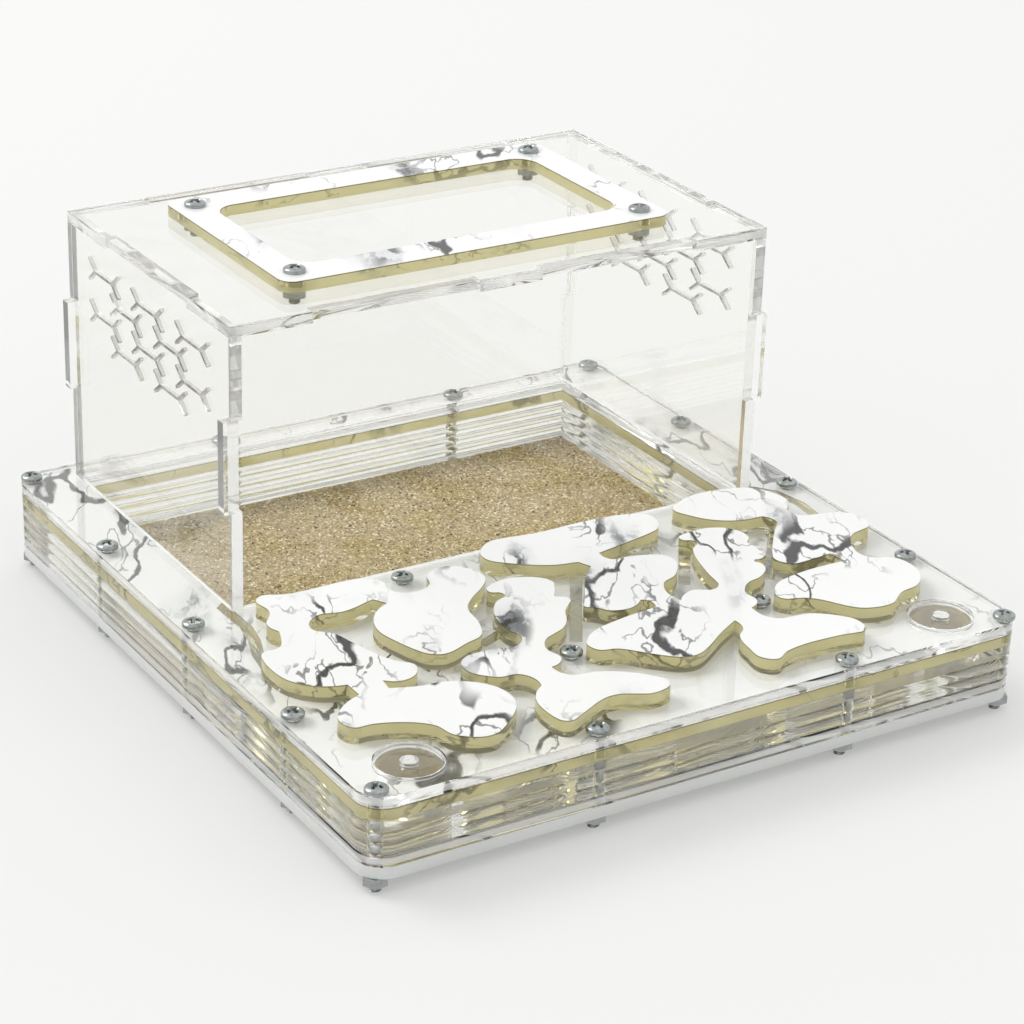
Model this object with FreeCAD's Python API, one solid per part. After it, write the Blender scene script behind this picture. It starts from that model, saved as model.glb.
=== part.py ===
"""Ant habitat: a stack of laser-cut acrylic sheets with brood chambers in front
and a clear feeding box behind.  Millimetres, +Z up, X along the nest's front edge, Y to the back.
The origin is at the centre of the footprint, on the surface that the screw ends stand on."""
import FreeCAD, Part
import math
import os

V = FreeCAD.Vector
UP = V(0, 0, 1)

# Sheets
SHEET = 3.0                    # every laser-cut acrylic sheet
LAYERS = 4                     # clear layers between the white plate and the coloured one
WIDTH = 184.0                  # of the plates, along X
DEPTH = 194.0                  # of the plates, along Y
CORNER = 7.0                   # radius of the plates' corners

# M3 machine screws and nuts
SCREW = 3.0                    # shank diameter
SCREW_LENGTH = 25.0            # under the head
ROOF_SCREW_LENGTH = 10.0
HEAD = 5.6                     # head diameter
HEAD_HEIGHT = 1.8
HEAD_RIM = 0.6                 # straight rim below the head's dome
NUT = 5.5                      # across flats
NUT_HEIGHT = 2.4
SCREW_PLAY = 0.1               # all round a shank in its hole
THREAD_PLAY = 0.02             # all round a shank in its nut
SCREW_INSET = 3.7              # from the plates' edges to the screws
SIDE_SCREWS = (-28.1, -1.8, 23.5)      # along Y, in percent of DEPTH
END_SCREWS = (-16.8, 21.7)     # along X, in percent of WIDTH
MIDDLE_SCREWS = ((-17.1, 96.6), (-8.7, 40), (21.7, 41.1))      # in nest percent
HEAD_CLEARANCE = 0.3           # from the rear screws' heads to the rear wall

# Facets of the fasteners and steps of the free curves
SHANK_SIDES = 6
HEAD_SIDES = 10
DOME_STEPS = 2
CUT_STEP = 60.0                # degrees of turn to one chord, in the layers
COVER_STEP = 30.0              # the same, in the loose covers

# Feeding box
BOX_WIDTH = 154.0              # outside, along X
BOX_DEPTH = 92.0               # outside, along Y
WALL_HEIGHT = 71.0
CORNER_TAB = 24.0              # height of the tab that passes through an end wall
CORNER_TAB_RISE = 26.0         # its lower edge above the cover plate
CORNER_TAB_STICKS_OUT = 2.0    # past the end wall
TAB = 46.0                     # length of a tab in the roof's edge
FRONT_TABS_X = (-32.0, 32.0)   # centres
TAB_PLAY = 0.15                # round a tab in the lift-off roof

# Vents in both end walls
SLIT = 0.8                     # laser slit width
VENT_BAR = 10.0
VENT_ARM_Y = 3.6
VENT_ARM_Z = 2.9
VENT_ROW = 5.75                # from row to row
VENT_TOP = 11.5                # the top row below the roof's top face
VENT_STEP_Y = 25.0             # between the bars of a row
VENT_ROWS = (3, 2, 3, 2)       # bars in each row, from the top

# Frame on the roof
FRAME_WIDTH = 112.0
FRAME_DEPTH = 67.0
FRAME_CORNER = 4.0
FRAME_HOLE_WIDTH = 94.0
FRAME_HOLE_DEPTH = 47.0
FRAME_HOLE_CORNER = 6.0
FRAME_SCREW_X = 50.0
FRAME_SCREW_Y = 27.0

# Water ports in the front corners
PORTS = {"left": (-40.9, 12.8), "right": (40.9, 12.8)}      # in nest percent
PORT_LID = 16.0                # diameter of the loose disc
PORT_PLAY = 0.3                # all round the disc
PORT_HOLE = 4.3                # drip hole through the disc and the coloured sheet
WATER_CELL = 16.0

FLAT_ENOUGH = 0.001            # bulge or turn below which an arc is drawn as a line

# Nest percent: X from the middle in percent of WIDTH, Y from the front edge in percent of the
# depth that the feeding box leaves to the nest.

# Passages for the ants, in nest percent
PASSAGE = 3.0
PASSAGE_END = 0.5              # carried on past the last place of a route
LEFT_PASSAGE = ((-39.1, 109.5), (-41.8, 105.3), (-41.7, 92.6), (-42.4, 85.8), (-43.9, 77.9), (-44.6, 69.5))
RIGHT_PASSAGE = ((39.1, 109.5), (41.8, 105.3), (45.4, 96.8), (46.3, 87.4), (45.7, 76.8), (46.2, 68.4))
INNER_PASSAGES = (
    ((-13.3, 59.5), (-16.8, 56.8)),
    ((5.2, 79.5), (-5.6, 47.1)),
    ((23.5, 80.2), (16.6, 61.1)),
    ((37.8, 80), (36.1, 73.2), (31.8, 62.1)),
    ((30.2, 57.9), (27.7, 53.2)),
)

# Feeding box floor
SAND = 1.3

# Outlines of the four brood chambers in nest percent.  Each is a ring of free curves that
# meet in sharp corners: a curve ends where the next one starts.
CHAMBERS = (
    (
        ((-25.3, 84.2), (-30.4, 81.6), (-34.2, 82.6), (-36.4, 77.9), (-34.2, 70.5), (-33.7, 66.3),
         (-31.2, 52.1), (-29.6, 47.9), (-29.9, 45.8), (-35.3, 44.7)),
        ((-35.3, 44.7), (-35.6, 40.5)),
        ((-35.6, 40.5), (-31.8, 37.9), (-29.3, 37.4), (-23.1, 23.2), (-27.2, 12.1), (-30.2, 8.9),
         (-34.2, 12.6), (-35.6, 20), (-37.5, 23.2), (-41.8, 26.8), (-44.6, 27.9), (-45.1, 30.5),
         (-42.9, 37.9), (-41.6, 39.5), (-39.7, 41.1)),
        ((-39.7, 41.1), (-39.7, 46.8)),
        ((-39.7, 46.8), (-43.5, 50), (-46.2, 64.7), (-44.6, 71.6), (-42.9, 71.6), (-41, 76.8),
         (-40.5, 79.5), (-41, 82.1), (-38.9, 91.6), (-39.1, 97.4), (-33.2, 96.8), (-27.4, 96.8),
         (-24.2, 96.3), (-21.5, 90.5), (-22, 87.9), (-20.1, 83.2), (-17.1, 83.7), (-14.9, 90.5),
         (-13.3, 92.1), (-9.2, 87.9), (-8.7, 81.6), (-10.1, 77.9),
         (-13.6, 72.6), (-15.5, 68.4), (-16.3, 60.5), (-18.5, 53.2),
         (-20.4, 52.1), (-24.7, 49.5), (-28.5, 61.1), (-29.1, 67.4), (-24.2, 80.5)),
        ((-24.2, 80.5), (-25.3, 84.2)),
    ),
    (
        ((-14.7, 31.1), (-14.1, 26.3), (-10.1, 23.7), (-6, 18.4), (-4.1, 9.5), (-5.4, 8.4),
         (-13, 11.6), (-16.8, 8.5), (-20.9, 6.8), (-21.5, 10.5), (-19.6, 22.6), (-18.5, 24.2)),
        ((-18.5, 24.2), (-19, 31.1), (-22.3, 33.2), (-24.7, 41.1), (-17.9, 45.8), (-16.3, 44.7),
         (-13.6, 50), (-14.1, 52.6), (-14.1, 57.4), (-11.7, 67.4), (-9.2, 71.1), (-10.6, 74.2),
         (-8.2, 77.9), (-4.6, 77.4), (-1.4, 70.5), (-3, 65.3), (-3.5, 63.7), (-2.4, 62.1),
         (-4.6, 55.3), (-6, 50.5), (-12.5, 40.5), (-12.5, 33.2), (-14.7, 31.1)),
    ),
    (
        ((9, 80), (9.2, 75.8), (12.5, 74.2), (16.8, 69.5), (14.7, 60), (11.4, 56.3), (10.6, 46.3)),
        ((10.6, 46.3), (12.8, 49.5), (17.4, 48.4), (18.5, 55.3), (20.9, 69.5), (22.8, 74.2),
         (21.5, 76.3), (24.7, 79.5), (30.4, 70), (29.1, 65.3), (29.6, 63.7), (27.7, 56.8),
         (26.6, 56.8), (26.9, 54.2), (24.2, 47.9), (22, 46.8), (19.8, 42.6), (19.6, 36.8),
         (17.7, 34.2)),
        ((17.7, 34.2), (17.7, 30), (25.5, 22.1), (28, 15.3), (27.7, 11.6), (23.1, 11.1),
         (14.7, 10.5), (11.7, 8.4), (10.6, 10.5), (10.6, 16.3), (11.7, 23.2), (13, 25.3), (13.6, 30.5)),
        ((13.6, 30.5), (9.8, 26.3), (1.9, 20), (-1.4, 25.3), (-4.1, 31.1), (-7.1, 34.2),
         (-7.3, 37.4), (-6.5, 39.5), (1.6, 45.3), (6.5, 46.3)),
        ((6.5, 46.3), (6.8, 50), (6, 51.6)),
        ((6, 51.6), (0.8, 50), (-0.8, 53.7), (-1.6, 54.7), (-0.8, 57.9), (3, 68.9), (5.7, 74.2)),
        ((5.7, 74.2), (4.9, 77.9)),
        ((4.9, 77.9), (-1.9, 83.2), (-5.7, 93.7), (-4.1, 97.9), (4.6, 98.4), (14.1, 98.4), (19.6, 96.8),
         (22, 93.7), (21.5, 87.4), (15.8, 82.6), (9, 80)),
    ),
    (
        ((40.5, 78.9), (41.6, 73.2), (43.2, 72.6), (46.7, 70.5), (48.4, 63.7), (42.1, 54.2),
         (40.8, 45.8), (44.6, 38.9), (44.3, 30), (41.3, 24.2), (38.6, 23.2), (34.8, 18.9), (30.4, 21.1),
         (26.9, 30.5), (22.8, 37.4), (23.4, 39.5), (31.8, 45.3), (37, 45.3)),
        ((37, 45.3), (37.2, 48.9), (36.7, 50.5)),
        ((36.7, 50.5), (33.4, 50), (31, 50), (29.3, 55.3), (30.2, 58.4), (32.1, 63.2),
         (35.3, 70.5), (36.7, 73.2)),
        ((36.7, 73.2), (36.7, 75.8), (35.9, 78.4)),
        ((35.9, 78.4), (26.9, 88.4), (26.1, 93.7), (27.7, 96.3), (34.2, 98.9), (41.3, 92.6), (42.4, 83.7),
         (40.5, 78.9)),
    ),
)

# Levels, from the surface that the screw ends stand on
STACK = (LAYERS + 3) * SHEET
BASE_Z = SCREW_LENGTH - STACK
LAYER_Z = [BASE_Z + SHEET * (1 + index) for index in range(LAYERS)]
DECOR_Z = LAYER_Z[-1] + SHEET
COVER_Z = DECOR_Z + SHEET
DECK_Z = COVER_Z + SHEET
ROOF_Z = DECK_Z + WALL_HEIGHT
FRAME_Z = ROOF_Z + SHEET

# Plan of the feeding box and of the nest in front of it
BOX_REAR = DEPTH / 2 - SCREW_INSET - HEAD / 2 - HEAD_CLEARANCE
BOX_FRONT = BOX_REAR - BOX_DEPTH
BOX_MIDDLE = (BOX_FRONT + BOX_REAR) / 2
NEST_FRONT = -DEPTH / 2
NEST_DEPTH = BOX_FRONT - NEST_FRONT
BOX_SIDE = BOX_WIDTH / 2
CORNER_TAB_Z = DECK_Z + CORNER_TAB_RISE

os.makedirs("parts", exist_ok=True)


def export(name, shape):
    """Write one sub-part, as a compound if it is several solids."""
    shape.exportStep("parts/" + name + ".step")
    box = shape.BoundBox
    print("%-22s %3d solids  z %6.2f to %6.2f" % (name, len(shape.Solids), box.ZMin, box.ZMax))


def block(x0, x1, y0, y1, z0, z1):
    return Part.makeBox(x1 - x0, y1 - y0, z1 - z0, V(x0, y0, z0))


def disc(x, y, z, diameter, height):
    return Part.makeCylinder(diameter / 2, height, V(x, y, z))


def nest_place(place):
    """Point of the plan from its nest percent."""
    x, y = place
    return V(WIDTH * x / 100, NEST_FRONT + NEST_DEPTH * y / 100, 0)


def polygon(x, y, z, sides, radius):
    """Level regular polygon with its corners at radius."""
    turns = [2 * math.pi * (index + 0.5) / sides for index in range(sides)]
    corners = [V(x + radius * math.cos(turn), y + radius * math.sin(turn), z) for turn in turns]
    return Part.makePolygon(corners + corners[:1])


def bore(x, y, z, diameter, height):
    """Faceted hole whose flats touch the diameter."""
    radius = diameter / 2 / math.cos(math.pi / SHANK_SIDES)
    return prism(polygon(x, y, 0, SHANK_SIDES, radius), z, height)


def rounded_block(width, depth, height, corner, x, y, z):
    """Upright block centred on x, y, with its four vertical edges rounded."""
    solid = block(x - width / 2, x + width / 2, y - depth / 2, y + depth / 2, z, z + height)
    upright = [e for e in solid.Edges if abs(e.tangentAt(e.FirstParameter).z) > 0.5]
    return solid.makeFillet(corner, upright)


def together(solids):
    """Join shapes that overlap into one, with no seams between coplanar faces."""
    joined = solids[0]
    if len(solids) > 1:
        joined = joined.multiFuse(solids[1:])
    return joined.removeSplitter()


def headings(places):
    """Direction of travel at each place of a smooth run."""
    inner = []
    for before, here, after in zip(places, places[1:], places[2:]):
        step_in = here - before
        step_out = after - here
        inner.append((step_in / step_in.Length ** 2 + step_out / step_out.Length ** 2).normalize())
    return [mirrored(inner[0], places[1] - places[0])] + inner + [
        mirrored(inner[-1], places[-1] - places[-2])]


def mirrored(heading, chord):
    """Heading at the other end of the arc that a chord spans."""
    along = V(chord).normalize()
    return along * (2 * heading.dot(along)) - heading


def tangent_arc(start, control, end, step):
    """Chords of the arc from start to end whose end tangents meet at control."""
    middle = (start + end) / 2
    bulge = control - middle
    if bulge.Length < FLAT_ENOUGH:
        return [end]
    half = (end - start) / 2
    lean = math.atan2(bulge.Length, half.Length)
    radius = half.Length / math.sin(lean)
    outward = V(bulge).normalize()
    along = V(half).normalize()
    centre = middle - outward * (radius * math.cos(lean))
    count = math.ceil(math.degrees(2 * lean) / step)
    turns = [lean * (2 * index / count - 1) for index in range(1, count)]
    return [centre + outward * (radius * math.cos(turn)) + along * (radius * math.sin(turn))
            for turn in turns] + [end]


def arc_pair(start, heading, end, arrival, step):
    """Two tangent arcs from start to end with the given headings there, as chords."""
    chord = end - start
    if math.degrees(heading.getAngle(chord) + chord.getAngle(arrival)) < step:
        return [end]
    along = chord.dot(heading + arrival)
    turn = 1 - heading.dot(arrival)
    if turn < FLAT_ENOUGH:
        reach = chord.dot(chord) / (2 * along)
    else:
        root = math.sqrt(along ** 2 + 2 * turn * chord.dot(chord))
        reach = (root - along) / (2 * turn)
    first = start + heading * reach
    last = end - arrival * reach
    middle = (first + last) / 2
    return tangent_arc(start, first, middle, step) + tangent_arc(middle, last, end, step)


def free_curve(points, step):
    """Smooth run of chords through points, or a straight edge between two, without its start."""
    places = [nest_place(point) for point in points]
    if len(places) == 2:
        return places[1:]
    ways = headings(places)
    run = []
    for start, heading, end, arrival in zip(places, ways, places[1:], ways[1:]):
        run += arc_pair(start, heading, end, arrival, step)
    return run


def chamber_solid(outline, z, height, step):
    """Upright prism on a chamber's outline."""
    corners = [nest_place(outline[0][0])]
    for points in outline:
        corners += free_curve(points, step)
    return prism(Part.makePolygon(corners), z, height)


def prism(wire, z, height):
    face = Part.Face(wire)
    face.translate(V(0, 0, z))
    return face.extrude(V(0, 0, height))


def passage(route, z, height):
    """Channel of even width along a route, mitred at its bends."""
    places = [nest_place(point) for point in route]
    ways = [(after - before).normalize() for before, after in zip(places, places[1:])]
    places[0] = places[0] - ways[0] * PASSAGE_END
    places[-1] = places[-1] + ways[-1] * PASSAGE_END
    left = []
    right = []
    for place, way_in, way_out in zip(places, ways[:1] + ways, ways + ways[-1:]):
        across = UP.cross(way_in + way_out)
        reach = across * (PASSAGE / across.dot(UP.cross(way_in)) / 2)
        left.append(place + reach)
        right.append(place - reach)
    corners = left + right[::-1]
    return prism(Part.makePolygon(corners + corners[:1]), z, height)


def screw_places():
    """Where the long screws stand, in plan."""
    side = WIDTH / 2 - SCREW_INSET
    end = DEPTH / 2 - SCREW_INSET
    between = [WIDTH * share / 100 for share in END_SCREWS]
    places = [(sx * side, DEPTH * share / 100) for sx in (-1, 1) for share in SIDE_SCREWS]
    places += [(x, sy * end) for sy in (-1, 1) for x in (-side, *between, side)]
    for share in MIDDLE_SCREWS:
        place = nest_place(share)
        places.append((place.x, place.y))
    return places


def roof_screw_places():
    return [(sx * FRAME_SCREW_X, BOX_MIDDLE + sy * FRAME_SCREW_Y)
            for sx in (-1, 1) for sy in (-1, 1)]


def screw(x, y, seat, length):
    """Pan-head screw whose head sits on seat: a rim, a dome and a shank."""
    half = HEAD / 2
    rise = HEAD_HEIGHT - HEAD_RIM
    dome_radius = (half ** 2 + rise ** 2) / (2 * rise)
    lean = math.asin(half / dome_radius)
    centre = seat + HEAD_HEIGHT - dome_radius
    rings = [polygon(x, y, seat, HEAD_SIDES, half)]
    for step in range(DOME_STEPS):
        turn = lean * (1 - step / DOME_STEPS)
        rings.append(polygon(x, y, centre + dome_radius * math.cos(turn), HEAD_SIDES,
                             dome_radius * math.sin(turn)))
    head = Part.makeLoft(rings, True, True)
    shank = prism(polygon(x, y, 0, SHANK_SIDES, SCREW / 2), seat - length, length)
    return together([head, shank])


def nut(x, y, top):
    """Hexagon nut hanging below top, with its thread taken as a plain bore."""
    corners = NUT / 2 / math.cos(math.pi / 6)
    hexagon = prism(polygon(x, y, 0, 6, corners), top - NUT_HEIGHT, NUT_HEIGHT)
    return hexagon.cut(bore(x, y, top - NUT_HEIGHT, SCREW + 2 * THREAD_PLAY, NUT_HEIGHT))


def plate(z, height):
    """One full-size plate of the stack with its screw holes."""
    solid = rounded_block(WIDTH, DEPTH, height, CORNER, 0, 0, z)
    holes = [bore(x, y, z, SCREW + 2 * SCREW_PLAY, height) for x, y in screw_places()]
    return solid.cut(Part.makeCompound(holes))


def box_well(z, height):
    """The feeding box's inside, carried down through the stack."""
    return block(-BOX_SIDE + SHEET, BOX_SIDE - SHEET, BOX_FRONT + SHEET, BOX_REAR - SHEET,
                 z, z + height)


def chambers(z, height):
    return [chamber_solid(outline, z, height, CUT_STEP) for outline in CHAMBERS]


def passages(z, height):
    routes = (LEFT_PASSAGE, RIGHT_PASSAGE) + INNER_PASSAGES
    return [passage(route, z, height) for route in routes]


def port_holes(z, height, diameter):
    places = [nest_place(share) for share in PORTS.values()]
    return [disc(place.x, place.y, z, diameter, height) for place in places]


def build_stack():
    """White plate, clear layers, coloured sheet and cover plate."""
    export("base_plate", plate(BASE_Z, SHEET))
    for index, z in enumerate(LAYER_Z):
        cuts = [box_well(z, SHEET)]
        if index > 0:
            cuts += chambers(z, SHEET)
        if index == LAYERS - 1:
            cuts += passages(z, SHEET)
            cuts += port_holes(z, SHEET, WATER_CELL)
        export("nest_layer_%d" % (index + 1), plate(z, SHEET).cut(cuts))
    cuts = [box_well(DECOR_Z, SHEET)] + chambers(DECOR_Z, SHEET) + passages(DECOR_Z, SHEET)
    cuts += port_holes(DECOR_Z, SHEET, PORT_HOLE)
    export("decor_plate", plate(DECOR_Z, SHEET).cut(cuts))
    cuts = [box_well(COVER_Z, SHEET)] + port_holes(COVER_Z, SHEET, PORT_LID + 2 * PORT_PLAY)
    export("cover_plate", plate(COVER_Z, SHEET).cut(cuts))


def build_fasteners():
    places = screw_places()
    export("base_screws", Part.makeCompound([screw(x, y, DECK_Z, SCREW_LENGTH) for x, y in places]))
    export("base_nuts", Part.makeCompound([nut(x, y, BASE_Z) for x, y in places]))
    places = roof_screw_places()
    seat = FRAME_Z + SHEET
    export("roof_screws",
           Part.makeCompound([screw(x, y, seat, ROOF_SCREW_LENGTH) for x, y in places]))
    export("roof_nuts", Part.makeCompound([nut(x, y, ROOF_Z) for x, y in places]))


def build_sand():
    export("sand", box_well(LAYER_Z[0], SAND))


def long_wall(outer, inner):
    """Front or rear wall between its two faces, with tabs into the end walls and the roof."""
    inside = BOX_SIDE - SHEET
    pieces = [block(-inside, inside, outer, inner, DECK_Z, ROOF_Z)]
    reach = BOX_SIDE + CORNER_TAB_STICKS_OUT
    pieces.append(block(-reach, reach, outer, inner, CORNER_TAB_Z, CORNER_TAB_Z + CORNER_TAB))
    for x in FRONT_TABS_X:
        pieces.append(block(x - TAB / 2, x + TAB / 2, outer, inner, ROOF_Z, FRAME_Z))
    return together(pieces)


def vent_outline():
    """Corners of one slit round its middle: a level bar that forks at both ends."""
    half = VENT_BAR / 2
    edge = SLIT / 2
    slope = math.atan2(VENT_ARM_Z, VENT_ARM_Y)
    across_y = edge * math.sin(slope)
    across_z = edge * math.cos(slope)
    tip_y = half + VENT_ARM_Y
    arm = [(tip_y - across_y, VENT_ARM_Z + across_z), (tip_y + across_y, VENT_ARM_Z - across_z)]
    root = half - edge * math.tan(slope / 2)
    crotch = half + edge / math.sin(slope)
    end = [(root, edge)] + arm + [(crotch, 0)] + [(y, -z) for y, z in arm[::-1]] + [(root, -edge)]
    return end + [(-y, -z) for y, z in end]


def vent_slits(x0):
    """All slits of an end wall whose lower X face is at x0."""
    slits = []
    top = FRAME_Z - VENT_TOP
    outline = vent_outline()
    for row, count in enumerate(VENT_ROWS):
        z = top - row * VENT_ROW
        for index in range(count):
            y = BOX_MIDDLE + (index - (count - 1) / 2) * VENT_STEP_Y
            corners = [V(x0, y + dy, z + dz) for dy, dz in outline]
            face = Part.Face(Part.makePolygon(corners + corners[:1]))
            slits.append(face.extrude(V(SHEET, 0, 0)))
    return slits


def end_wall(side):
    """Left or right wall over the full depth, notched for the long walls' tabs."""
    x0, x1 = sorted((side * (BOX_SIDE - SHEET), side * BOX_SIDE))
    wall = block(x0, x1, BOX_FRONT, BOX_REAR, DECK_Z, ROOF_Z)
    tab = block(x0, x1, BOX_MIDDLE - TAB / 2, BOX_MIDDLE + TAB / 2, ROOF_Z, FRAME_Z)
    cuts = []
    for y0 in (BOX_FRONT, BOX_REAR - SHEET):
        cuts.append(block(x0, x1, y0, y0 + SHEET, CORNER_TAB_Z, CORNER_TAB_Z + CORNER_TAB))
    return together([wall, tab]).cut(cuts + vent_slits(x0))


def build_walls():
    export("front_wall", long_wall(BOX_FRONT, BOX_FRONT + SHEET))
    export("rear_wall", long_wall(BOX_REAR - SHEET, BOX_REAR))
    export("left_wall", end_wall(-1))
    export("right_wall", end_wall(1))


def build_roof():
    """Lift-off roof: panel notched round the walls' tabs, with a frame held on by screws."""
    panel = block(-BOX_SIDE, BOX_SIDE, BOX_FRONT, BOX_REAR, ROOF_Z, FRAME_Z)
    cuts = []
    half = TAB / 2 + TAB_PLAY
    deep = SHEET + TAB_PLAY
    for x in FRONT_TABS_X:
        cuts.append(block(x - half, x + half, BOX_FRONT, BOX_FRONT + deep, ROOF_Z, FRAME_Z))
        cuts.append(block(x - half, x + half, BOX_REAR - deep, BOX_REAR, ROOF_Z, FRAME_Z))
    y0 = BOX_MIDDLE - half
    y1 = BOX_MIDDLE + half
    cuts.append(block(-BOX_SIDE, -BOX_SIDE + deep, y0, y1, ROOF_Z, FRAME_Z))
    cuts.append(block(BOX_SIDE - deep, BOX_SIDE, y0, y1, ROOF_Z, FRAME_Z))
    cuts += [bore(x, y, ROOF_Z, SCREW + 2 * SCREW_PLAY, SHEET) for x, y in roof_screw_places()]
    export("roof_panel", panel.cut(cuts))
    export("roof_frame", roof_ring(FRAME_Z, SHEET))


def roof_ring(z, height):
    ring = rounded_block(FRAME_WIDTH, FRAME_DEPTH, height, FRAME_CORNER, 0, BOX_MIDDLE, z)
    hole = rounded_block(FRAME_HOLE_WIDTH, FRAME_HOLE_DEPTH, height, FRAME_HOLE_CORNER,
                         0, BOX_MIDDLE, z)
    holes = [bore(x, y, z, SCREW + 2 * SCREW_PLAY, height) for x, y in roof_screw_places()]
    return ring.cut([hole] + holes)


def build_chamber_covers():
    """Loose covers that lie on the cover plate over the brood chambers."""
    for number, outline in enumerate(CHAMBERS, start=1):
        export("chamber_cover_%d" % number, chamber_solid(outline, DECK_Z, SHEET, COVER_STEP))


def build_port_lids():
    """Loose clear discs, flush in the cover plate, with a drip hole."""
    for side, share in PORTS.items():
        place = nest_place(share)
        lid = disc(place.x, place.y, COVER_Z, PORT_LID, SHEET)
        hole = disc(place.x, place.y, COVER_Z, PORT_HOLE, SHEET)
        export("port_lid_" + side, lid.cut(hole))


build_stack()
build_fasteners()
build_sand()
build_walls()
build_roof()
build_chamber_covers()
build_port_lids()
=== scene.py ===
"""Looks of the ant habitat: clear acrylic, golden sheet with a marble print, steel screws and sand."""
import math
import random

import bmesh
import bpy
from mathutils import Matrix, Vector, noise


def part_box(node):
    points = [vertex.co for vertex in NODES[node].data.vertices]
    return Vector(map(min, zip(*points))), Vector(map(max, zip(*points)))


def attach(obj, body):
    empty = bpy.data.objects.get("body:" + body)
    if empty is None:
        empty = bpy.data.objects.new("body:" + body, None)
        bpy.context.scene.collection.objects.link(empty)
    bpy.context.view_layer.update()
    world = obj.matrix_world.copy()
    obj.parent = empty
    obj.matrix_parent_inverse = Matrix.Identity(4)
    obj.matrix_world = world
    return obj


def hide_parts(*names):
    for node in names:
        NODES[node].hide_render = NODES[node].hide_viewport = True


MM = 0.001
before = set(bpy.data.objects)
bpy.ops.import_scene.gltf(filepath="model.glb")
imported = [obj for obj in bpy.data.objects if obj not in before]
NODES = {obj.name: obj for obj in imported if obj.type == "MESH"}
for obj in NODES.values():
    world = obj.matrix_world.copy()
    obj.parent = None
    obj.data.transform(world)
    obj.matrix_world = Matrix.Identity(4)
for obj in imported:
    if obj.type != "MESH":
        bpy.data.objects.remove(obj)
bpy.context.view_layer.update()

# Levels of the printed faces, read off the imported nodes
DECOR_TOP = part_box("decor_plate")[1].z
COVER_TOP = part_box("chamber_cover_1")[1].z
FRAME_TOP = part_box("roof_frame")[1].z

# The photograph's viewpoint
TARGET = Vector((1.80, -2.52, 34.94)) * MM
DISTANCE = 757.05 * MM
HEADING = math.radians(32.43)
DROP = math.radians(24.82)
ROLL = math.radians(1.92)
FOCAL = 104.96
SENSOR = 36.0


# Part of a face's normal along an axis: above LEVEL it faces along it, below STEEP across it
LEVEL = 0.7
STEEP = 0.5


class Nodes:
    """Short calls for building one node tree."""

    def __init__(self, tree):
        self.tree = tree

    def add(self, kind, **values):
        node = self.tree.nodes.new(kind)
        for key, value in values.items():
            setattr(node, key, value)
        return node

    def put(self, socket, value):
        if isinstance(value, bpy.types.NodeSocket):
            self.tree.links.new(value, socket)
        else:
            socket.default_value = value

    def math(self, operation, first, second=0.0):
        node = self.add("ShaderNodeMath", operation=operation)
        self.put(node.inputs[0], first)
        self.put(node.inputs[1], second)
        return node.outputs[0]

    def times(self, first, *others):
        for other in others:
            first = self.math("MULTIPLY", first, other)
        return first

    def mix(self, factor, first, second):
        """Two colours; a Mix node's colour sockets are its seventh and eighth."""
        node = self.add("ShaderNodeMix", data_type="RGBA")
        self.put(node.inputs[0], factor)
        self.put(node.inputs[6], first)
        self.put(node.inputs[7], second)
        return node.outputs[2]

    def blend(self, factor, first, second):
        """Two numbers."""
        node = self.add("ShaderNodeMix", data_type="FLOAT")
        self.put(node.inputs[0], factor)
        self.put(node.inputs[2], first)
        self.put(node.inputs[3], second)
        return node.outputs[0]

    def steps(self, value, low, high):
        node = self.add("ShaderNodeMapRange", interpolation_type="SMOOTHSTEP")
        self.put(node.inputs[0], value)
        node.inputs[1].default_value = low
        node.inputs[2].default_value = high
        return node.outputs[0]

    def noise(self, place, scale, detail=3.0, rough=0.5):
        node = self.add("ShaderNodeTexNoise")
        self.put(node.inputs["Vector"], place)
        node.inputs["Scale"].default_value = scale
        node.inputs["Detail"].default_value = detail
        node.inputs["Roughness"].default_value = rough
        return node

    def place(self, shift=(0, 0, 0), stretch=(1, 1, 1), turn=0.0):
        """The piece's own coordinates, shifted and turned about Z, then stretched."""
        coords = self.add("ShaderNodeTexCoord")
        turned = self.add("ShaderNodeMapping")
        self.put(turned.inputs[0], coords.outputs["Object"])
        turned.inputs["Location"].default_value = shift
        turned.inputs["Rotation"].default_value = (0, 0, turn)
        node = self.add("ShaderNodeMapping")
        self.put(node.inputs[0], turned.outputs[0])
        node.inputs["Scale"].default_value = stretch
        return node.outputs[0]

    def axis(self, vector, index):
        node = self.add("ShaderNodeSeparateXYZ")
        self.put(node.inputs[0], vector)
        return node.outputs[index]

    def facing_up(self):
        """1 on faces that look up, in the piece's own frame."""
        coords = self.add("ShaderNodeTexCoord")
        return self.math("GREATER_THAN", self.axis(coords.outputs["Normal"], 2), LEVEL)

    def on_edge(self, across=2):
        """1 on the narrow faces of a sheet that is thin along one axis of the piece's own frame."""
        coords = self.add("ShaderNodeTexCoord")
        share = self.math("ABSOLUTE", self.axis(coords.outputs["Normal"], across))
        return self.math("LESS_THAN", share, STEEP)

    def bump(self, height, strength, distance):
        node = self.add("ShaderNodeBump")
        node.inputs["Strength"].default_value = strength
        node.inputs["Distance"].default_value = distance
        self.put(node.inputs["Height"], height)
        return node.outputs[0]


def new_material(name, **values):
    """Material with one Principled shader and the helper for its tree."""
    material = bpy.data.materials.new(name)
    material.use_nodes = True
    tree = Nodes(material.node_tree)
    shader = material.node_tree.nodes["Principled BSDF"]
    for key, value in values.items():
        shader.inputs[key].default_value = value
    return material, tree, shader


ACRYLIC_IOR = 1.49
ALONG_CUT = 0.03               # stretch of the laser's striae through a sheet
SMUDGE_ROUGHNESS = 0.03
EDGE_ROUGHNESS = 0.04


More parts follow.
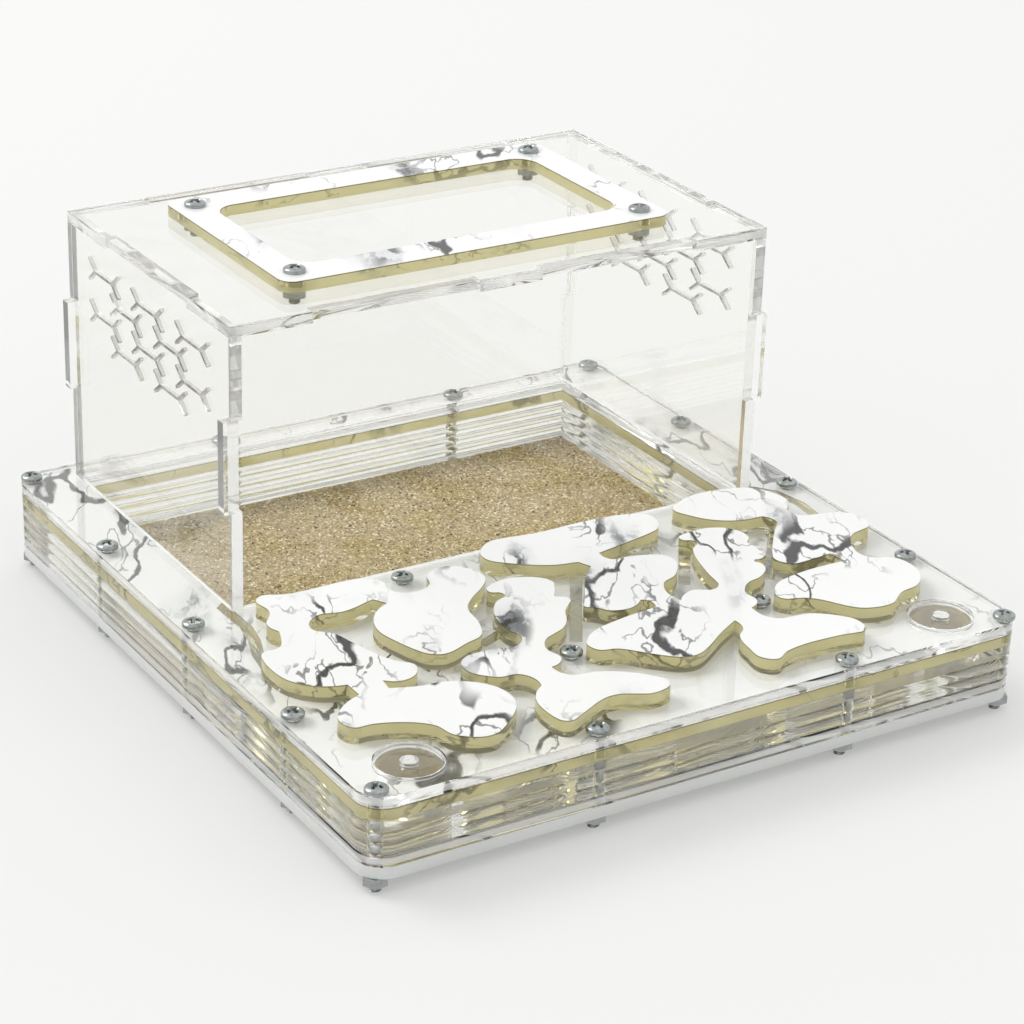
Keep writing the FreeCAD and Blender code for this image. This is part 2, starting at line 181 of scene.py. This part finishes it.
def clear_acrylic(name, across, clearness):
    """Clear sheet that is thin along one axis; its laser-cut edges are striated and less clear."""
    material, t, shader = new_material(name, **{
        "Base Color": (0.998, 0.996, 0.982, 1), "IOR": ACRYLIC_IOR})
    smudge = t.noise(t.place(), 60, 4).outputs[0]
    edge = t.on_edge(across)
    fine = [1.0, 1.0, 1.0]
    fine[across] = ALONG_CUT
    striae = t.noise(t.place(stretch=fine), 900, 2).outputs[0]
    face_rough = t.times(t.steps(smudge, 0.45, 0.8), SMUDGE_ROUGHNESS)
    t.put(shader.inputs["Roughness"], t.blend(edge, face_rough, EDGE_ROUGHNESS))
    t.put(shader.inputs["Transmission Weight"], t.blend(edge, 1.0, clearness))
    t.put(shader.inputs["Normal"], t.bump(t.times(striae, edge), 0.05, 0.01 * MM))
    return material


def slit_shade_acrylic():
    """Narrow laser-cut slit walls, darkened grey with painted shade so that the slits show as dark
    lines.
    """
    material, t, shader = new_material("slit_shade_acrylic", **{
        "IOR": ACRYLIC_IOR, "Transmission Weight": 0.75})
    # Painted shade: the slit walls go from dark to light grey at random, for the slits' dark outlines
    tone = t.noise(t.place(), 700, 3).outputs[0]
    t.put(shader.inputs["Base Color"], t.mix(tone, (0.32, 0.31, 0.29, 1), (0.80, 0.79, 0.76, 1)))
    t.put(shader.inputs["Roughness"], t.blend(tone, 0.1, 0.35))
    return material


def milky_acrylic():
    """White sheet that lets a little light in."""
    material, t, shader = new_material("milky_acrylic", **{
        "IOR": ACRYLIC_IOR, "Subsurface Weight": 0.3, "Subsurface Scale": 3 * MM})
    tone = t.noise(t.place(), 45, 3).outputs[0]
    t.put(shader.inputs["Base Color"], t.mix(tone, (0.62, 0.63, 0.62, 1), (0.72, 0.73, 0.72, 1)))
    t.put(shader.inputs["Roughness"], t.blend(tone, 0.18, 0.3))
    return material


def ridge(t, value):
    """1 where a noise value crosses its middle, falling off to both sides."""
    off = t.math("ABSOLUTE", t.math("SUBTRACT", value, 0.5))
    return t.math("SUBTRACT", 1.0, t.times(off, 2))


# The marble print. Noise scales are in cells to the metre.
VEIN_TURN = math.radians(-62)
VEIN_STRETCH = (0.55, 1.1, 1.0)
JITTER = 16 * MM               # how far the veins are bent aside
JITTER_SCALE = 40
VEIN_SCALE = 26
THREAD_SCALE = 85
PATCH_SCALE = 30
RARE_SCALE = 34
STREAK_SCALE = 190
WHITE_STONE = (0.92, 0.925, 0.92, 1)
GREY_HAZE = (0.42, 0.45, 0.49, 1)
SMOKE = (0.07, 0.08, 0.09, 1)
THREAD = (0.04, 0.04, 0.05, 1)
VEIN = (0.012, 0.012, 0.015, 1)


def marble_colour(t, shift):
    """White stone with black branching veins that run one way, and a few smoky patches."""
    place = t.place(shift, VEIN_STRETCH, VEIN_TURN)
    bent = t.add("ShaderNodeVectorMath", operation="MULTIPLY_ADD")
    t.put(bent.inputs[0], t.noise(place, JITTER_SCALE, 5, 0.55).outputs[1])
    bent.inputs[1].default_value = (JITTER, JITTER, JITTER)
    t.put(bent.inputs[2], place)
    where = bent.outputs[0]
    broad = ridge(t, t.noise(where, VEIN_SCALE).outputs[0])
    fine = ridge(t, t.noise(where, THREAD_SCALE).outputs[0])
    patch = t.steps(t.noise(place, PATCH_SCALE, 2).outputs[0], 0.46, 0.54)
    rare = t.steps(t.noise(place, RARE_SCALE, 1).outputs[0], 0.55, 0.66)
    streaks = t.steps(t.noise(where, STREAK_SCALE, 4, 0.6).outputs[0], 0.45, 0.58)
    haze = t.times(t.steps(broad, 0.75, 1.0), rare)
    smoke = t.times(t.steps(broad, 0.86, 0.96), rare, streaks)
    thread = t.times(t.steps(fine, 0.966, 0.99), t.steps(broad, 0.74, 0.90), patch)
    vein = t.times(t.steps(broad, 0.968, 0.988), patch)
    colour = t.mix(t.times(haze, 0.35), WHITE_STONE, GREY_HAZE)
    colour = t.mix(t.times(smoke, 0.85), colour, SMOKE)
    colour = t.mix(t.times(thread, 0.75), colour, THREAD)
    return t.mix(t.times(vein, 0.97), colour, VEIN)


BARE_RADIUS = 7.6 * MM         # the print leaves the sheet bare this far round a water port
FILM = 0.34 * MM               # dark line of the print's film along a sheet's upper edge


def printed_acrylic(name, top, shift, ports):
    """Golden see-through sheet whose upper face carries the marble print."""
    material, t, shader = new_material(name, **{"IOR": ACRYLIC_IOR})
    up = t.facing_up()
    here = t.place()
    tone = t.noise(here, 70, 3).outputs[0]
    gold = t.mix(tone, (0.87, 0.78, 0.38, 1), (0.96, 0.90, 0.56, 1))
    for port in ports:
        flat = t.add("ShaderNodeVectorMath", operation="DISTANCE")
        t.put(flat.inputs[0], here)
        flat.inputs[1].default_value = (port.x, port.y, top)
        printed = t.math("GREATER_THAN", flat.outputs["Value"], BARE_RADIUS)
        up = t.times(up, printed)
        gold = t.mix(printed, (0.33, 0.26, 0.12, 1), gold)
    film = t.times(t.math("GREATER_THAN", t.axis(here, 2), top - FILM), t.on_edge())
    side = t.mix(t.times(film, 0.85), gold, (0.10, 0.085, 0.05, 1))
    t.put(shader.inputs["Base Color"], t.mix(up, side, marble_colour(t, shift)))
    t.put(shader.inputs["Transmission Weight"], t.blend(up, 0.82, 0.0))
    t.put(shader.inputs["Roughness"], t.blend(up, 0.14, t.blend(tone, 0.10, 0.17)))
    return material


def steel(name, dark, bright):
    """Plated steel, mottled between two tones."""
    material, t, shader = new_material(name, **{"Metallic": 1.0})
    tone = t.noise(t.place(), 800, 4).outputs[0]
    t.put(shader.inputs["Base Color"], t.mix(tone, dark, bright))
    t.put(shader.inputs["Roughness"], t.blend(tone, 0.12, 0.3))
    t.put(shader.inputs["Normal"], t.bump(tone, 0.15, 0.04 * MM))
    return material


GRAINS = 1800                  # to the metre
PALE_GRAINS = 0.93             # grains above this share are pale
DARK_GRAINS = 0.035            # grains below this share are dark


def sand_material():
    """Grains of mixed browns, with a few pale and dark ones."""
    material, t, shader = new_material("sand", **{"Roughness": 0.85, "IOR": 1.5})
    cells = t.add("ShaderNodeTexVoronoi")
    t.put(cells.inputs["Vector"], t.place())
    cells.inputs["Scale"].default_value = GRAINS
    pick = t.axis(cells.outputs["Color"], 0)
    other = t.axis(cells.outputs["Color"], 1)
    colour = t.mix(pick, (0.31, 0.22, 0.095, 1), (0.72, 0.585, 0.32, 1))
    colour = t.mix(t.math("GREATER_THAN", other, PALE_GRAINS), colour, (0.90, 0.84, 0.66, 1))
    colour = t.mix(t.math("LESS_THAN", other, DARK_GRAINS), colour, (0.07, 0.05, 0.03, 1))
    t.put(shader.inputs["Base Color"], colour)
    t.put(shader.inputs["Normal"], t.bump(cells.outputs["Distance"], 0.6, 0.3 * MM))
    return material


CLEAR_WALLS = [clear_acrylic("clear_wall_x", 0, 0.8), clear_acrylic("clear_wall_y", 1, 0.8)]
CLEAR_SHEET = clear_acrylic("clear_sheet", 2, 0.88)
CLOUDY_SHEET = clear_acrylic("cloudy_sheet", 2, 0.6)
# Painted shade for the vent slits' walls
SLIT_SHADE = slit_shade_acrylic()
MILKY = milky_acrylic()
STEEL = steel("screw_steel", (0.16, 0.18, 0.18, 1), (0.56, 0.59, 0.58, 1))
ZINC = steel("nut_steel", (0.24, 0.25, 0.25, 1), (0.46, 0.47, 0.46, 1))
SAND = sand_material()


def piece_from(name, bm, material, body, node):
    """Finish a mesh piece that stands for a CAD node."""
    bmesh.ops.recalc_face_normals(bm, faces=bm.faces)
    mesh = bpy.data.meshes.new(name)
    bm.to_mesh(mesh)
    bm.free()
    mesh.materials.append(material)
    piece = bpy.data.objects.new(name, mesh)
    bpy.context.scene.collection.objects.link(piece)
    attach(piece, body)
    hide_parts(node)
    return piece


WELD = 0.002 * MM              # points of a CAD mesh that lie this close are one


def node_mesh(node):
    bm = bmesh.new()
    bm.from_mesh(NODES[node].data)
    bmesh.ops.remove_doubles(bm, verts=bm.verts, dist=WELD)
    return bm


# Sheets are drawn again from the outlines of their CAD solids, with the facets smoothed away.
# Clear ones stand a hair inside the solid, as stacked sheets have air between them.
AIR = 0.03 * MM
LASER_EDGE = 0.09 * MM         # rounding that the laser leaves on a printed sheet
SHARP = math.radians(38)       # a larger turn in an outline is a corner
SUBSTEPS = 6
NEAR = 1.2 * MM                # how far a faceted outline may lie off its smooth one
HOLE_SIDES = 28
CAD_HOLE_SIDES = 6
WIDEST_HOLE = 5 * MM           # six-sided outlines below this are screw holes
DETOUR = 1.5                   # the most that a smooth stretch may lengthen its chord, as a share
DETOUR_MORE = 0.3 * MM         # and on top of that


def outlines(node):
    """Closed outlines of a CAD node's upper face, in plan."""
    bm = node_mesh(node)
    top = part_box(node)[1].z - 5 * WELD
    links = {}
    for edge in bm.edges:
        if min(v.co.z for v in edge.verts) < top:
            continue
        rises = [abs(face.normal.z) for face in edge.link_faces]
        if max(rises) > LEVEL and min(rises) < STEEP:
            a, b = edge.verts
            links.setdefault(a, []).append(b)
            links.setdefault(b, []).append(a)
    loops = []
    while links:
        start = next(iter(links))
        loop = [start]
        while links.get(loop[-1]):
            here = loop[-1]
            onward = links[here].pop()
            links[onward].remove(here)
            loop.append(onward)
        for vert in [v for v in loop if not links.get(v)]:
            links.pop(vert, None)
        loops.append([Vector((v.co.x, v.co.y)) for v in loop[:-1]])
    bm.free()
    return [loop for loop in loops if len(loop) > 2]


def turn_at(before, here, after):
    return (here - before).angle(after - here)


def smooth(loop):
    """The outline as a spline through its points that keeps its sharp corners."""
    count = len(loop)
    corner = [turn_at(loop[k - 1], loop[k], loop[(k + 1) % count]) > SHARP for k in range(count)]
    fine = []
    for k in range(count):
        a, b = loop[k], loop[(k + 1) % count]
        before = a if corner[k] else loop[k - 1]
        after = b if corner[(k + 1) % count] else loop[(k + 2) % count]
        span = (b - a).length
        leave = span * ((a - before).normalized() + (b - a).normalized()).normalized()
        arrive = span * ((b - a).normalized() + (after - b).normalized()).normalized()
        for step in range(SUBSTEPS):
            t = step / SUBSTEPS
            fine.append(a * (2 * t ** 3 - 3 * t ** 2 + 1) + leave * (t ** 3 - 2 * t ** 2 + t)
                        + b * (3 * t ** 2 - 2 * t ** 3) + arrive * (t ** 3 - t ** 2))
    return fine


def nearest(guide, place):
    """Place in a guide's ring of the point nearest to place, or None if it is far."""
    index = min(range(len(guide)), key=lambda k: (guide[k] - place).length_squared)
    return index if (guide[index] - place).length < NEAR else None


def between(guide, first, last):
    """The guide's points from first to last, the shorter way round."""
    count = len(guide)
    ahead = (last - first) % count
    if ahead <= count - ahead:
        return [guide[(first + k) % count] for k in range(1, ahead)]
    return [guide[(first - k) % count] for k in range(1, count - ahead)]


def follow(loop, guides):
    """A faceted outline with the guides' smooth stretches put between its points."""
    found = [[nearest(guide, place) for guide in guides] for place in loop]
    fine = []
    for k, place in enumerate(loop):
        onward = (k + 1) % len(loop)
        fine.append(place)
        for guide, first, last in zip(guides, found[k], found[onward]):
            if first is None or last is None:
                continue
            extra = between(guide, first, last)
            path = [place] + extra + [loop[onward]]
            length = sum((q - p).length for p, q in zip(path, path[1:]))
            if length < DETOUR * (loop[onward] - place).length + DETOUR_MORE:
                fine += extra
            break
    return fine


def round_hole(loop):
    """Circle that touches the flats of a faceted screw hole."""
    middle = sum(loop, Vector((0, 0))) / len(loop)
    radius = (loop[0] - middle).length * math.cos(math.pi / len(loop))
    turns = [2 * math.pi * k / HOLE_SIDES for k in range(HOLE_SIDES)]
    return [middle + radius * Vector((math.cos(turn), math.sin(turn))) for turn in turns]


COVERS = ["chamber_cover_%d" % number for number in range(1, 5)]
CHAMBERS = [smooth(outlines(node)[0]) for node in COVERS]


def drawn(loop):
    """A CAD outline with its facets smoothed away."""
    if len(loop) == CAD_HOLE_SIDES and (loop[CAD_HOLE_SIDES // 2] - loop[0]).length < WIDEST_HOLE:
        return round_hole(loop)
    return follow(loop, CHAMBERS)


def slab(node, loops, rounding):
    """Mesh of a level sheet in its node's place, with its edges rounded inside its outline."""
    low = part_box(node)[0].z
    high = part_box(node)[1].z
    curve = bpy.data.curves.new(node, "CURVE")
    curve.dimensions = "2D"
    curve.fill_mode = "BOTH"
    for loop in loops:
        spline = curve.splines.new("POLY")
        spline.points.add(len(loop) - 1)
        for point, place in zip(spline.points, loop):
            point.co = (place.x, place.y, 0, 1)
        spline.use_cyclic_u = True
    curve.extrude = (high - low) / 2 - rounding
    curve.bevel_depth = rounding
    curve.bevel_resolution = 1
    curve.offset = -rounding
    helper = bpy.data.objects.new(node, curve)
    bpy.context.scene.collection.objects.link(helper)
    evaluated = helper.evaluated_get(bpy.context.evaluated_depsgraph_get())
    mesh = bpy.data.meshes.new_from_object(evaluated)
    bpy.data.objects.remove(helper)
    mesh.transform(Matrix.Translation((0, 0, (low + high) / 2)))
    bm = bmesh.new()
    bm.from_mesh(mesh)
    bmesh.ops.remove_doubles(bm, verts=bm.verts, dist=WELD / 2)
    return bm


def smooth_loops(node):
    return [drawn(loop) for loop in outlines(node)]


def printed_sheet(node, body, material):
    bm = slab(node, smooth_loops(node), LASER_EDGE)
    piece_from(node + "_printed", bm, material, body, node)


def chamber_cover(number):
    node = COVERS[number - 1]
    bm = slab(node, [CHAMBERS[number - 1]], LASER_EDGE)
    inside(bm, node)
    material = COVER_PRINTS[number - 1]
    piece_from(node + "_printed", bm, material, "cover_%d" % number, node)


def inside(bm, node, gap=0.0):
    """Scale a mesh into its CAD node's box, less a gap on each side."""
    low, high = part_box(node)
    for axis in range(3):
        values = [vert.co[axis] for vert in bm.verts]
        size = max(values) - min(values)
        share = min(1.0, (high[axis] - low[axis] - 2 * gap) / size)
        middle = (low[axis] + high[axis]) / 2
        centre = (max(values) + min(values)) / 2
        for vert in bm.verts:
            vert.co[axis] = middle + (vert.co[axis] - centre) * share


def clear_piece(node, body, bm, material):
    inside(bm, node, AIR)
    piece = piece_from(node + "_clear", bm, material, body, node)
    piece.visible_shadow = False
    return piece


def clear_sheet(node, body, material=CLEAR_SHEET):
    clear_piece(node, body, slab(node, smooth_loops(node), 0.0), material)


VENT_MARGIN = 6 * MM           # slits lie at least this far inside a wall's rim


def clear_wall(node, body, across):
    """Upright sheet, thin along one axis, whose vent slit walls carry painted shade."""
    bm = node_mesh(node)
    low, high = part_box(node)
    wide = [axis for axis in range(3) if axis != across]
    for face in bm.faces:
        middle = face.calc_center_median()
        rim = min(min(middle[axis] - low[axis], high[axis] - middle[axis]) for axis in wide)
        face.material_index = int(abs(face.normal[across]) < STEEP and rim > VENT_MARGIN)
    piece = clear_piece(node, body, bm, CLEAR_WALLS[across])
    # The slit faces take the painted shade material
    piece.data.materials.append(SLIT_SHADE)


PORT_NODES = ("port_lid_left", "port_lid_right")
PORT_PLACES = [sum(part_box(node), Vector((0, 0, 0))) / 2 for node in PORT_NODES]
NUMBERS = range(1, len(COVERS) + 1)
COVER_SHIFT = 0.17             # each cover is cut from another place in the stone
COVER_PRINTS = [printed_acrylic("cover_print_%d" % number, COVER_TOP, (COVER_SHIFT * number, 0.4, 0), ())
                for number in NUMBERS]

for node in ("nest_layer_2", "nest_layer_3", "nest_layer_4"):
    clear_sheet(node, "nest_base")
clear_sheet("nest_layer_1", "nest_base", CLOUDY_SHEET)
clear_sheet("cover_plate", "nest_base", CLOUDY_SHEET)
for node, across in (("front_wall", 1), ("rear_wall", 1), ("left_wall", 0), ("right_wall", 0)):
    clear_wall(node, "nest_base", across)
clear_sheet("roof_panel", "roof_lid", CLOUDY_SHEET)
clear_sheet("port_lid_left", "port_left")
clear_sheet("port_lid_right", "port_right")

printed_sheet("decor_plate", "nest_base",
              printed_acrylic("decor_print", DECOR_TOP, (0.02, 0.05, 0), PORT_PLACES))
printed_sheet("roof_frame", "roof_lid",
              printed_acrylic("frame_print", FRAME_TOP, (0.31, 0.12, 0), ()))
for number in NUMBERS:
    chamber_cover(number)


def white_base():
    bm = slab("base_plate", smooth_loops("base_plate"), LASER_EDGE)
    piece_from("base_plate_milky", bm, MILKY, "nest_base", "base_plate")


white_base()


# Screws and nuts
PITCH = 0.5 * MM
SHANK = 1.5 * MM
THREAD_DEPTH = 0.28 * MM
THREAD_SIDES = 16
THREAD_ROWS = 4
HEAD_R = 2.8 * MM
HEAD_H = 1.49 * MM
HEAD_RIM = 0.6 * MM
RECESS_ARM = 1.55 * MM
RECESS_HALF = 0.42 * MM
RECESS_DEPTH = 1.1 * MM
RECESS_RIM = 0.35              # depth at the recess's tips, as a share
HEAD_RINGS = 14
HEAD_SIDES = 64
TURN_SEED = 7                  # the heads' recesses stand at random turns


def centres(node):
    """Plan centre of each separate solid in a CAD node, with its lowest and highest point."""
    bm = node_mesh(node)
    seen = set()
    found = []
    for start in bm.verts:
        if start in seen:
            continue
        group = [start]
        seen.add(start)
        for vert in group:
            for edge in vert.link_edges:
                other = edge.other_vert(vert)
                if other not in seen:
                    seen.add(other)
                    group.append(other)
        xs = [v.co.x for v in group]
        ys = [v.co.y for v in group]
        zs = [v.co.z for v in group]
        found.append(((min(xs) + max(xs)) / 2, (min(ys) + max(ys)) / 2, min(zs), max(zs)))
    bm.free()
    return sorted(found)


def ring(bm, x, y, points):
    return [bm.verts.new((x + px, y + py, z)) for px, py, z in points]


def bridge(bm, lower, upper):
    count = len(lower)
    for k in range(count):
        n = (k + 1) % count
        bm.faces.new((lower[k], lower[n], upper[n], upper[k]))


def add_thread(bm, x, y, low, high):
    """Shank with a helical ridge."""
    rows = int(round((high - low) / PITCH * THREAD_ROWS))
    previous = None
    for row in range(rows + 1):
        z = low + (high - low) * row / rows
        points = []
        for k in range(THREAD_SIDES):
            angle = 2 * math.pi * k / THREAD_SIDES
            phase = ((z - low) / PITCH - k / THREAD_SIDES) % 1.0
            radius = SHANK - THREAD_DEPTH * abs(2 * phase - 1)
            points.append((radius * math.cos(angle), radius * math.sin(angle), z))
        current = ring(bm, x, y, points)
        if previous is None:
            bm.faces.new(list(reversed(current)))
        else:
            bridge(bm, previous, current)
        previous = current
    bm.faces.new(previous)


def head_height(px, py, seat, turn):
    """Top of the head over a point, with the cross recess cut in."""
    radius = math.hypot(px, py)
    rise = HEAD_H - HEAD_RIM
    top = seat + HEAD_RIM + rise * math.sqrt(max(0.0, 1 - (radius / HEAD_R) ** 2))
    a = px * math.cos(turn) + py * math.sin(turn)
    b = -px * math.sin(turn) + py * math.cos(turn)
    long = max(abs(a), abs(b))
    short = min(abs(a), abs(b))
    if long < RECESS_ARM and short < RECESS_HALF:
        taper = 1 - long / RECESS_ARM
        depth = RECESS_DEPTH * (RECESS_RIM + (1 - RECESS_RIM) * taper)
        return min(top, seat + HEAD_H - depth)
    return top


def add_head(bm, x, y, seat, turn):
    """Pan head as rings from its rim to the middle of its cross recess."""
    steps = [2 * math.pi * k / HEAD_SIDES for k in range(HEAD_SIDES)]
    rim = [(HEAD_R * math.cos(angle), HEAD_R * math.sin(angle)) for angle in steps]
    lower = ring(bm, x, y, [(px, py, seat) for px, py in rim])
    bm.faces.new(list(reversed(lower)))
    previous = lower
    for step in range(HEAD_RINGS):
        share = math.cos(step / HEAD_RINGS * math.pi / 2)
        points = []
        for px, py in rim:
            points.append((px * share, py * share, head_height(px * share, py * share, seat, turn)))
        current = ring(bm, x, y, points)
        bridge(bm, previous, current)
        previous = current
    centre = bm.verts.new((x, y, seat + HEAD_H - RECESS_DEPTH))
    for k in range(HEAD_SIDES):
        bm.faces.new((previous[k], previous[(k + 1) % HEAD_SIDES], centre))


def screws(name, node, body):
    bm = bmesh.new()
    rng = random.Random(TURN_SEED)
    for x, y, low, high in centres(node):
        seat = high - HEAD_H
        add_thread(bm, x, y, low, seat)
        add_head(bm, x, y, seat, rng.uniform(0, math.pi / 2))
    piece_from(name, bm, STEEL, body, node)


NUT_R = 5.5 * MM / math.sqrt(3)
NUT_CHAMFER = 0.25 * MM
NUT_GAP = 0.02 * MM            # below the sheet that a nut bears on


def add_nut(bm, x, y, low, high):
    """Hexagon with both its faces chamfered."""
    def hexagon(radius, z):
        turns = [math.radians(60 * k) for k in range(6)]
        return ring(bm, x, y, [(radius * math.cos(turn), radius * math.sin(turn), z) for turn in turns])

    rows = [hexagon(NUT_R - NUT_CHAMFER, low), hexagon(NUT_R, low + NUT_CHAMFER),
            hexagon(NUT_R, high - NUT_CHAMFER), hexagon(NUT_R - NUT_CHAMFER, high)]
    bm.faces.new(list(reversed(rows[0])))
    for lower, upper in zip(rows, rows[1:]):
        bridge(bm, lower, upper)
    bm.faces.new(rows[-1])


def nuts(name, node, body):
    bm = bmesh.new()
    for x, y, low, high in centres(node):
        add_nut(bm, x, y, low, high - NUT_GAP)
    piece_from(name, bm, ZINC, body, node)


screws("base_screws_threaded", "base_screws", "nest_base")
nuts("base_nuts_chamfered", "base_nuts", "nest_base")
screws("roof_screws_threaded", "roof_screws", "roof_lid")
nuts("roof_nuts_chamfered", "roof_nuts", "roof_lid")


# Sand: a bed of grains
GRID = 0.45 * MM
GRAIN = 0.9 * MM
SAND_INSET = 0.1 * MM          # from the sides of the sand's solid
SAND_LIFT = 0.02 * MM          # above the sheet that carries it
SAND_LEVEL = 0.25 * MM         # of the crests, below the solid's top
SWELL = 0.25 * MM
SWELL_SCALE = 45
GRAIN_RELIEF = 0.55 * MM
GRAIN_SLICE = 3.0              # where the flat noises cut through their solid patterns
SWELL_SLICE = 0.5


def sand_bed():
    """Closed bed whose upper side is a grid raised over each grain."""
    low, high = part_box("sand")
    x0 = low.x + SAND_INSET
    y0 = low.y + SAND_INSET
    nx = int((high.x - SAND_INSET - x0) / GRID)
    ny = int((high.y - SAND_INSET - y0) / GRID)
    floor = low.z + SAND_LIFT
    bm = bmesh.new()
    rows = []
    for j in range(ny + 1):
        row = []
        for i in range(nx + 1):
            x = x0 + i * GRID
            y = y0 + j * GRID
            cell = noise.voronoi(Vector((x / GRAIN, y / GRAIN, GRAIN_SLICE)))[0][0]
            swell = noise.noise(Vector((x * SWELL_SCALE, y * SWELL_SCALE, SWELL_SLICE)))
            z = high.z - SAND_LEVEL + SWELL * swell - GRAIN_RELIEF * min(cell, 1.0)
            row.append(bm.verts.new((x, y, min(z, high.z))))
        rows.append(row)
    for lower, upper in zip(rows, rows[1:]):
        for i in range(nx):
            bm.faces.new((lower[i], lower[i + 1], upper[i + 1], upper[i]))
    border = rows[0] + [r[-1] for r in rows[1:]] + list(reversed(rows[-1][:-1]))
    border += [r[0] for r in reversed(rows[1:-1])]
    under = [bm.verts.new((v.co.x, v.co.y, floor)) for v in border]
    bridge(bm, under, border)
    bm.faces.new(under)
    piece_from("sand_grains", bm, SAND, "nest_base", "sand")


sand_bed()


# Stage, light and camera
BACKDROP = (0.91, 0.925, 0.91, 1)
FLOOR = (0.86, 0.86, 0.855, 1)
FLOOR_HALF = 8.0
SEEN_GLOW = 0.3                # share of the backdrop's colour in the floor, to the camera
MIRRORED_GLOW = 0.8            # the same, in gloss and through clear sheets
DAYLIGHT = (0.90, 0.90, 0.895, 1)
GLOSS_NEAR = (0.30, 0.30, 0.30, 1)
GLOSS_FAR = (1.0, 1.0, 1.0, 1)
KEY_PLACE = (-1.3, 2.0, 2.6)
KEY_SIZE = 1.6
KEY_POWER = 34
CLEAR_BOUNCES = 32             # a ray crosses many faces on its way through the stack
DIFFUSE_BOUNCES = 4


def stage_floor():
    """Pale floor that keeps the object's shadow."""
    mesh = bpy.data.meshes.new("floor")
    signs = ((-1, -1), (1, -1), (1, 1), (-1, 1))
    mesh.from_pydata([(sx * FLOOR_HALF, sy * FLOOR_HALF, 0) for sx, sy in signs], [], [(0, 1, 2, 3)])
    material = bpy.data.materials.new("floor_white")
    material.use_nodes = True
    t = Nodes(material.node_tree)
    t.tree.nodes.clear()
    diffuse = t.add("ShaderNodeBsdfDiffuse")
    diffuse.inputs[0].default_value = FLOOR
    glow = t.add("ShaderNodeEmission")
    glow.inputs[0].default_value = BACKDROP
    path = t.add("ShaderNodeLightPath")
    through = t.math("MAXIMUM", path.outputs["Is Glossy Ray"], path.outputs["Is Transmission Ray"])
    share = t.math("MAXIMUM", t.times(path.outputs["Is Camera Ray"], SEEN_GLOW),
                   t.times(through, MIRRORED_GLOW))
    mix = t.add("ShaderNodeMixShader")
    t.put(mix.inputs[0], share)
    t.tree.links.new(diffuse.outputs[0], mix.inputs[1])
    t.tree.links.new(glow.outputs[0], mix.inputs[2])
    out = t.add("ShaderNodeOutputMaterial")
    t.tree.links.new(mix.outputs[0], out.inputs[0])
    mesh.materials.append(material)
    floor = bpy.data.objects.new("floor", mesh)
    bpy.context.scene.collection.objects.link(floor)


def sky():
    """Even pale studio; metal and gloss see it darker on the near side, so that forms read."""
    world = bpy.data.worlds.new("studio")
    bpy.context.scene.world = world
    world.use_nodes = True
    t = Nodes(world.node_tree)
    t.tree.nodes.clear()
    coords = t.add("ShaderNodeTexCoord")
    near = t.steps(t.axis(coords.outputs["Generated"], 1), -0.9, 0.4)
    up = t.steps(t.axis(coords.outputs["Generated"], 2), 0.1, 0.8)
    gloss = t.mix(t.blend(up, near, 1.0), GLOSS_NEAR, GLOSS_FAR)
    path = t.add("ShaderNodeLightPath")
    colour = t.mix(path.outputs["Is Glossy Ray"], DAYLIGHT, gloss)
    seen = t.math("MAXIMUM", path.outputs["Is Camera Ray"], path.outputs["Is Transmission Ray"])
    colour = t.mix(seen, colour, BACKDROP)
    back = t.add("ShaderNodeBackground")
    t.put(back.inputs[0], colour)
    back.inputs[1].default_value = 1.0
    out = t.add("ShaderNodeOutputWorld")
    t.tree.links.new(back.outputs[0], out.inputs[0])


def lamp(name, place, size, power):
    data = bpy.data.lights.new(name, "AREA")
    data.size = size
    data.energy = power
    light = bpy.data.objects.new(name, data)
    light.location = place
    light.rotation_euler = (-Vector(place)).to_track_quat("-Z", "Y").to_euler()
    bpy.context.scene.collection.objects.link(light)


def camera():
    """The photograph's view, from its heading, drop and roll."""
    forward = Vector((math.sin(HEADING) * math.cos(DROP), math.cos(HEADING) * math.cos(DROP),
                      -math.sin(DROP)))
    level = forward.cross(Vector((0, 0, 1))).normalized()
    upright = level.cross(forward)
    right = math.cos(ROLL) * level + math.sin(ROLL) * upright
    up = math.cos(ROLL) * upright - math.sin(ROLL) * level
    data = bpy.data.cameras.new("camera")
    data.lens = FOCAL
    data.sensor_width = SENSOR
    eye = bpy.data.objects.new("camera", data)
    turn = Matrix((right, up, -forward)).transposed().to_4x4()
    eye.matrix_world = Matrix.Translation(TARGET - forward * DISTANCE) @ turn
    bpy.context.scene.collection.objects.link(eye)
    bpy.context.scene.camera = eye


stage_floor()
sky()
lamp("key", KEY_PLACE, KEY_SIZE, KEY_POWER)
camera()
scene = bpy.context.scene
scene.view_settings.view_transform = "Standard"
scene.cycles.max_bounces = CLEAR_BOUNCES
scene.cycles.transmission_bounces = CLEAR_BOUNCES
scene.cycles.glossy_bounces = CLEAR_BOUNCES
scene.cycles.diffuse_bounces = DIFFUSE_BOUNCES
